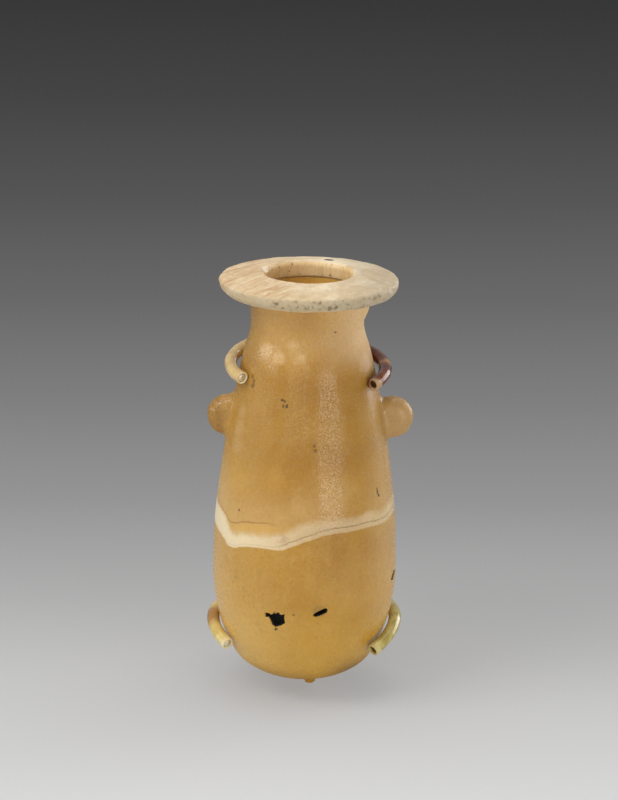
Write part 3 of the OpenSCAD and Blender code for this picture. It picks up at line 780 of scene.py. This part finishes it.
def sink_pit(piece, outline, turn, z):
    """Divides the skin round a pit finely, pushes in what is inside its outline and darkens that."""
    turn = math.radians(turn)
    out = Vector((math.sin(turn), -math.cos(turn), 0))
    right = Vector((math.cos(turn), math.sin(turn), 0))
    middle = out * stone_radius(z) + Vector((0, 0, z))

    def inside(co):
        way = (co - base) / mm - middle
        return depth_inside(outline, way @ right, way.z) if abs(way @ out) < pit_reach else -math.inf

    only(piece)
    bpy.ops.object.mode_set(mode="EDIT")
    bpy.ops.mesh.select_mode(type="FACE")
    bpy.ops.mesh.select_all(action="DESELECT")
    bpy.ops.object.mode_set(mode="OBJECT")
    for face in piece.data.polygons:
        face.select = inside(face.center) > -pit_margin
    bpy.ops.object.mode_set(mode="EDIT")
    bpy.ops.mesh.subdivide(number_cuts=pit_cuts)
    bpy.ops.mesh.select_mode(type="VERT")
    bpy.ops.object.mode_set(mode="OBJECT")
    for vertex in piece.data.vertices:
        reach = inside(vertex.co)
        if reach > 0:
            vertex.co -= out * min(pit_depth, reach * pit_steepness) * mm
    for face in piece.data.polygons:
        way = (face.center - base) / mm - middle
        if depth_inside(outline, way @ right, way.z) > dark_from and -dark_depth < way @ out < wall:
            face.material_index = 1


for outline, turn, z in pits:
    sink_pit(body, outline, turn, z)
shaded(body, body_crease)
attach(body, "holder")
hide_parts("body")
print("body:", len(body.data.polygons), "faces, finishes", [m.name for m in body.data.materials])

# %% [markdown]
# ## Cream stone
# The rim disc comes from a paler block. Its left side has warm streaks that run
# along the bed of the stone, its right side is greyer, and old dirt sits in the
# pores of its edge. The bore shows fine upright lines from the drill.

# %% Cream stone
rim_edge_z, rim_r, mouth_r = 124.3, 26.7, 13.1
rim_middle, rim_bulge = 122.1, 0.05
bed_along, bed_across = 0.82, 0.57
stain_x, stain_y, stain_scale = 6.0, 15.6, 0.7
# Where a highlight is painted on the nick in the mouth's edge.
nick_highlight_spot = (-12.4, 4.6, 125.8)
edge_dirt = ((-0.6, 121.4, 1.0), (6.6, 121.5, 1.2), (8.2, 121.9, 0.9), (19.6, 122.8, 1.1), (20.8, 123.2, 0.9),
             (3.3, 123.2, 0.7), (16.3, 121.0, 0.8), (-7.5, 121.0, 0.7), (-9.5, 122.2, 0.7))


def rim_radius(z):
    """The disc's edge, which leans in a little above and below its middle."""
    return rim_r - rim_bulge * (z - rim_middle) ** 2


def cream_stone():
    stone = Finish("cream_stone", IOR=1.5, Subsurface_Weight=0.25, Subsurface_Scale=2 * mm,
                   Subsurface_Radius=(1.0, 0.75, 0.5))
    spot = stone.spot
    x, y, z = (spot.axis(k) for k in range(3))
    radius = spot.stretched(1, 1, 0).away_from(0, 0, 0)
    soft = spot.grain(9, detail=3, distortion=0.8)
    fine = spot.grain(0.6, detail=4, roughness=0.65)
    along = x * bed_along + y * bed_across
    across = y * bed_along - x * bed_across
    bed = x.add("ShaderNodeCombineXYZ", {0: along * 0.26, 1: across, 2: z * 0.6})
    streak = bed.grain(3.6, detail=6, roughness=0.65, distortion=1.6)
    mottle = spot.grain(2.4, detail=5, roughness=0.68, distortion=0.5)
    drill = spot.stretched(1, 1, 0.06).grain(0.7, detail=2)
    dirt = spot.grain(1.3, detail=5, roughness=0.7)
    left, front = x.step(8, -16), y.step(-4, -20)
    edge = radius.step(rim_r - 1.8, rim_r - 0.5) * z.step(rim_edge_z + 0.2, rim_edge_z - 0.8)
    bore = radius.step(mouth_r + 0.7, mouth_r + 0.2)

    seam_a = abs(across - 17.5 - (soft - 0.5) * 5).step(0.9, 0.1)
    seam_b = abs(across - 8.5 - (soft - 0.5) * 6).step(0.7, 0.1)
    nick_highlight = spot.away_from(*nick_highlight_spot) + (fine - 0.5)
    loose = dirt.step(0.5, 0.64) * edge * (0.2 + front * 0.8) * x.step(-16, -2)
    grime = (loose * 0.7).most(fleck_mask(spot, dirt * 2.6 - 0.8, edge_dirt, 0.9, rim_radius))
    pores = spot.grain(0.9, detail=3, roughness=0.6).step(0.62, 0.68) * (0.12 + bore * 0.9 + left * 0.5)
    flat = spot.stretched(stain_scale, stain_scale, 0)
    stain = flat.away_from(stain_x * stain_scale, stain_y * stain_scale, 0) + (fine - 0.5) * 0.5
    cream = soft.step(0.38, 0.62).mixed(tone(222, 198, 158), tone(244, 226, 192))
    stone.set("Base Color", painted(cream, {
        "warm left": (left * (0.35 + soft * 0.5), tone(214, 176, 124)),
        "dark streaks": (streak.step(0.5, 0.7) * (0.08 + left * 0.7), tone(186, 140, 84)),
        "seams": (seam_a.most(seam_b) * x.step(-8, -14) * 0.65, tone(178, 126, 78)),
        "light streaks": (streak.step(0.48, 0.36) * left * 0.6, tone(240, 222, 188)),
        "grey right": (x.step(4, 24) * 0.7, tone(180, 158, 128)),
        "light mottle": (mottle.step(0.52, 0.7) * 0.4, tone(252, 238, 212)),
        "dark mottle": (mottle.step(0.48, 0.3) * 0.35, tone(186, 158, 116)),
        # Painted highlight: a white crescent on the nick in the mouth's edge.
        "painted highlight on the nick": (nick_highlight.step(1.9, 1.2) * 0.8, tone(255, 238, 220)),
        # Painted light: the bore is lightened where it would lie in shade.
        "bore": (bore * 0.6, tone(242, 206, 140)),
        "drill lines": (bore * drill.step(0.5, 0.66) * 0.2, tone(190, 146, 92)),
        "grey edge": (edge * (0.3 + front * 0.4), tone(184, 168, 136)),
        "grime": (grime * 0.8, tone(112, 92, 60)),
        "pores": (pores * 0.7, tone(134, 90, 50)),
        "stain": (stain.step(1.2, 0.95), tone(30, 18, 10)),
    }))
    stone.set("Roughness", 0.34 + fine * 0.25 + grime * 0.2)
    stone.emboss(fine + soft * 0.5 - pores - grime * 0.6, 0.05)
    return stone.material


cream = cream_stone()
print("finish:", cream.name)

# %% [markdown]
# ## Rim disc
# A flat ring with a gentle crown, small roundings and a seat for the neck
# underneath. Its outline has short steps, so that the lathe leaves enough
# vertices for the worn edge: lumps all over, chips where the edge was knocked,
# a nick in the mouth and some wear under the left end.

# %% Rim disc
rim_crown, rim_round, rim_under_round, mouth_round = 1.8, 1.1, 2.7, 1.5
seat_r, seat_top = 16.1, 121.5
rim_spins, rim_step, rim_crease, bare_gap = 224, 0.6, 50, 0.05
rim_lumps = ((8, 0.22), (2.2, 0.05))
chip_size, chip_depth, chip_from, chip_width = 2.4, 0.9, 0.25, 2
nick_spot, nick_reach, nick_depth = Vector((-12.6, 4.2, rim_edge_z + 1.4)), 2.4, 0.8
low_wear_spot, low_wear_reach = Vector((-24.5, -6, 120.6)), 12
low_wear_top, low_wear_depth = 123, 0.4


def arc(r, z, radius, start, end, steps=6):
    """Points on a circle about (r, z), from one angle to another."""
    angles = [math.radians(start + (end - start) * k / steps) for k in range(steps + 1)]
    return [(r + radius * math.cos(a), z + radius * math.sin(a)) for a in angles]


def in_steps(outline, longest):
    """The same outline with no step longer than that many millimetres."""
    points = [outline[0]]
    for (r0, z0), (r1, z1) in zip(outline, outline[1:]):
        count = math.ceil(math.hypot(r1 - r0, z1 - z0) / longest)
        points += [(r0 + (r1 - r0) * k / count, z0 + (z1 - z0) * k / count) for k in range(1, count + 1)]
    return points


def worn(spot):
    """Low lumps over the disc, chips along its outer edges, a nick in its mouth and wear below."""
    radius = math.hypot(spot.x, spot.y)
    if spot.z < neck_top + bare_gap or radius < mouth_r + bare_gap:
        return 0
    outer = max(0, (radius - rim_r + chip_width) / chip_width)
    chip = max(0, noise.noise(spot / chip_size) - chip_from) * outer * chip_depth
    near = max(0, 1 - (spot - nick_spot).length / nick_reach)
    low_wear = eased((spot - low_wear_spot).length / low_wear_reach) if spot.z < low_wear_top else 0
    return lumpy(spot, rim_lumps) - chip - near * nick_depth - low_wear * low_wear_depth


rim_outline = [(mouth_r, seat_top), (seat_r, seat_top), (seat_r, neck_top)]
rim_outline += arc(rim_r - rim_under_round, neck_top + rim_under_round, rim_under_round, -90, 0)
rim_outline += arc(rim_r - rim_round, rim_edge_z - rim_round, rim_round, 0, 90)
rim_outline += arc(mouth_r + mouth_round, rim_edge_z + rim_crown - mouth_round, mouth_round, 90, 180)
rim = lathe("rim", in_steps(rim_outline + rim_outline[:1], rim_step), rim_spins)
moved(rim, worn)
shaded(rim, rim_crease)
finished(rim, cream, "cream_stone", "holder", "rim_disc")

# %% [markdown]
# ## Bedding
# A thin ring of lime cement joins the disc and the neck. Its shape in the frame
# is right, so it only gets its finish.


# %% Lime cement
def lime_cement():
    cement = Finish("lime_cement", Roughness=0.9)
    grit = cement.spot.grain(0.5, detail=4, roughness=0.7)
    cement.set("Base Color", grit.step(0.3, 0.7).mixed(tone(196, 170, 128), tone(222, 202, 168)))
    cement.emboss(grit, 0.08)
    return cement.material


def dressed(node, material):
    """Gives a node of the frame a better finish."""
    frame["nodes"][node].material_slots[0].material = material


dressed("rim_bedding", lime_cement())
print("bedding dressed")

# %% [markdown]
# ## Tubing
# Soft plastic tubing covers each hook, and each length has aged to a tone of
# its own, with one patch and a tip of other colours. A thin coat gives it its
# glints, and a warm tint keeps the reflected studio from greying the tones.


# %% Tubing finishes
def tubing(name, light, dark, patch, patch_spot, patch_reach, tip, tip_spot, tip_reach, coat=0.5):
    """Aged tubing: cloudy between two tones, with one patch and a tip of other colours."""
    tube = Finish(name, IOR=1.5, Subsurface_Weight=0.15, Subsurface_Scale=1 * mm, Coat_Weight=coat,
                  Coat_Roughness=0.08, Specular_Tint=(1.0, 0.8, 0.6, 1.0))
    spot = tube.spot
    clouds = spot.grain(3.5, detail=3, distortion=0.5)
    fine = spot.grain(0.6, detail=3)
    near = (spot.away_from(*patch_spot) + (clouds - 0.5) * 6).step(patch_reach, patch_reach * 0.2)
    end = spot.away_from(*tip_spot) + (clouds - 0.5) * 2 + (fine - 0.5)
    end = end.step(tip_reach, tip_reach * 0.6)
    specks = spot.grain(0.8, detail=2).step(0.68, 0.74)
    tube.set("Base Color", painted(clouds.step(0.38, 0.64).mixed(light, dark), {
        "patch": (near * 0.9, patch),
        "tip": (end * 0.9, tip),
        "specks": (specks * 0.4, tone(92, 66, 36)),
    }))
    tube.set("Roughness", 0.1 + fine * 0.12 + end * 0.2)
    tube.emboss(clouds * 0.8 + fine * (0.15 + end * 0.6), 0.06)
    return tube.material


tubings = {
    "upper_left": ("cream", dict(
        light=tone(222, 194, 134), dark=tone(208, 174, 108), patch=tone(232, 212, 160),
        patch_spot=(-19.5, -14, 97.5), patch_reach=3.0, tip=tone(240, 228, 190), tip_reach=2.2)),
    "upper_right": ("brown", dict(
        light=tone(88, 24, 2), dark=tone(120, 54, 6), patch=tone(186, 138, 88),
        patch_spot=(24, 2, 97.5), patch_reach=3.0, tip=tone(190, 158, 122), tip_reach=3.2, coat=0.2)),
    "lower_left": ("yellow", dict(
        light=tone(222, 202, 128), dark=tone(210, 180, 100), patch=tone(156, 92, 12),
        patch_spot=(-28.5, 0, 16), patch_reach=8.0, tip=tone(240, 230, 190), tip_reach=2.8)),
    "lower_right": ("olive", dict(
        light=tone(196, 180, 100), dark=tone(172, 152, 72), patch=tone(222, 210, 146),
        patch_spot=(22, -17, 13), patch_reach=4.0, tip=tone(206, 188, 116), tip_reach=2.2)),
}
print("tubing tones:", sorted(tubings))

# %% [markdown]
# ## Tubing on the hooks
# The tubing follows its wire, so it starts from a copy of the frame's sleeve. A
# fine remesh and low lumps take away the drawn look of the solid. The middle
# and the way of each front end are kept, for the tip's colour and the wires.

# %% Tubing on the hooks
flat_angle, end_corners = 0.5, 12
tube_voxel, tube_passes, tube_lumps = 0.2, 3, ((3, 0.07),)


def copy_of(node, name):
    """A loose copy of a node of the frame, with its triangles joined at their corners."""
    piece = bpy.data.objects.new(name, frame["nodes"][node].data.copy())
    bpy.context.scene.collection.objects.link(piece)
    only(piece)
    bpy.ops.mesh.customdata_custom_splitnormals_clear()
    bpy.ops.object.mode_set(mode="EDIT")
    bpy.ops.mesh.select_all(action="SELECT")
    bpy.ops.mesh.remove_doubles(threshold=weld)
    bpy.ops.object.mode_set(mode="OBJECT")
    return piece


def flat_faces(piece):
    """Makes one face of the triangles of each flat side."""
    only(piece)
    bpy.ops.object.mode_set(mode="EDIT")
    bpy.ops.mesh.select_all(action="SELECT")
    bpy.ops.mesh.dissolve_limited(angle_limit=math.radians(flat_angle))
    bpy.ops.object.mode_set(mode="OBJECT")


def front_end(piece):
    """The middle and the way of the flat end of a length of tubing that is nearest the camera."""
    flat_faces(piece)
    ends = [face for face in piece.data.polygons if len(face.vertices) > end_corners]
    foremost = min(ends, key=lambda face: face.center.y)
    corners = [piece.data.vertices[k].co for k in foremost.vertices]
    return sum(corners, Vector()) / len(corners), foremost.normal.copy()


def soft_lumps(spot):
    return lumpy(spot, tube_lumps)


tips = {}
for hook, (tone_name, looks) in tubings.items():
    sleeve = copy_of(f"{hook}_sleeve", f"{hook}_tubing")
    middle, way = front_end(sleeve)
    print(hook, "tip at", [round(value, 1) for value in (middle - base) / mm])
    tips[hook] = (middle, way)
    material = tubing(f"{tone_name}_tubing", tip_spot=tuple((middle - base) / mm), **looks)
    reskinned(sleeve, tube_voxel, tube_passes)
    moved(sleeve, soft_lumps)
    only(sleeve)
    bpy.ops.object.shade_smooth()
    finished(sleeve, material, f"{tone_name}_tubing", f"{hook}_hook", f"{hook}_sleeve")

# %% [markdown]
# ## Brass and steel
# The holder's bar, blocks and pin are plain brass, brushed along their length
# and dulled in places. Real machined edges are broken, so copies of the frame's
# solids get a small bevel. The wires and screws keep their shapes. On the two
# left hooks the wire comes flush with its tubing, so a short bright end is set
# in each of those tips.

# %% Metals
edge_break, edge_segments, edge_angle = 0.25, 2, 35
flush_wires = ("upper_left", "lower_left")
wire_r, wire_setback, wire_sides = 1.15, 0.8, 32
wire_break, wire_segments, wire_angle = 0.3, 3, 60


def metal(name, bright, dull, streak_way):
    """Brushed metal that is bright in places and dull in others."""
    work = Finish(name, Metallic=1.0)
    streaks = work.spot.stretched(*streak_way).grain(0.5, detail=3)
    blotches = work.spot.grain(5, detail=4, roughness=0.6)
    work.set("Base Color", blotches.step(0.4, 0.75).mixed(bright, dull))
    work.set("Roughness", 0.24 + streaks * 0.2 + blotches * 0.12)
    work.emboss(streaks, 0.015)
    return work.material


brass = metal("holder_brass", tone(214, 172, 98), tone(150, 112, 58), (1, 1, 0.06))
dark_brass = metal("aged_brass", tone(120, 88, 44), tone(64, 44, 22), (1, 1, 0.06))
pale_brass = metal("cut_brass", tone(250, 242, 216), tone(206, 196, 168), (1, 1, 1))
steel = metal("screw_steel", tone(196, 196, 196), tone(128, 126, 122), (1, 0.2, 1))


def broken_edges(node):
    """A copy of a solid with flat faces in one piece and its edges bevelled."""
    piece = copy_of(node, f"{node}_brass")
    flat_faces(piece)
    modified(piece, "BEVEL", width=edge_break * mm, segments=edge_segments, limit_method="ANGLE",
             angle_limit=math.radians(edge_angle), use_clamp_overlap=False)
    shaded(piece, edge_angle)
    finished(piece, brass, "holder_brass", "holder", node)


def wire_end(hook):
    """The cut end of a wire that comes flush with its tubing."""
    middle, way = tips[hook]
    bpy.ops.object.select_all(action="DESELECT")
    bpy.ops.mesh.primitive_cylinder_add(vertices=wire_sides, radius=wire_r * mm, depth=wire_setback * mm,
                                        location=middle - way * wire_setback / 2 * mm,
                                        rotation=way.to_track_quat("Z", "Y").to_euler())
    bpy.ops.object.transform_apply(location=True, rotation=True)
    end = bpy.context.object
    end.name = f"{hook}_wire_end"
    modified(end, "BEVEL", width=wire_break * mm, segments=wire_segments, limit_method="ANGLE",
             angle_limit=math.radians(wire_angle))
    shaded(end, edge_angle)
    finished(end, pale_brass, "holder_brass", f"{hook}_hook")


for node in ("spine", "upper_block", "lower_block", "stem"):
    broken_edges(node)
for hook in flush_wires:
    wire_end(hook)
for hook in tubings:
    dressed(f"{hook}_prong", dark_brass)
for node in ("stem_screw", "block_screws", "grub_screws"):
    dressed(node, steel)

# %% [markdown]
# ## Felt pads
# Pieces of grey felt keep the blocks off the stone. Felt has no crisp corners,
# so a remesh and smoothing round them, and fibres lift the surface a little.

# %% Felt pads
felt_voxel, felt_passes = 0.35, 6


def grey_felt():
    felt = Finish("grey_felt", Roughness=1.0, Sheen_Weight=0.4)
    fibres = felt.spot.stretched(1, 1, 0.4).grain(0.3, detail=5, roughness=0.75, distortion=1.5)
    felt.set("Base Color", fibres.step(0.3, 0.75).mixed(tone(70, 70, 72), tone(124, 122, 120)))
    felt.emboss(fibres, 0.25)
    return felt.material


felt = grey_felt()
for level in ("upper", "lower"):
    pad = copy_of(f"{level}_pad", f"{level}_felt")
    reskinned(pad, felt_voxel, felt_passes)
    only(pad)
    bpy.ops.object.shade_smooth()
    finished(pad, felt, "grey_felt", "holder", f"{level}_pad")
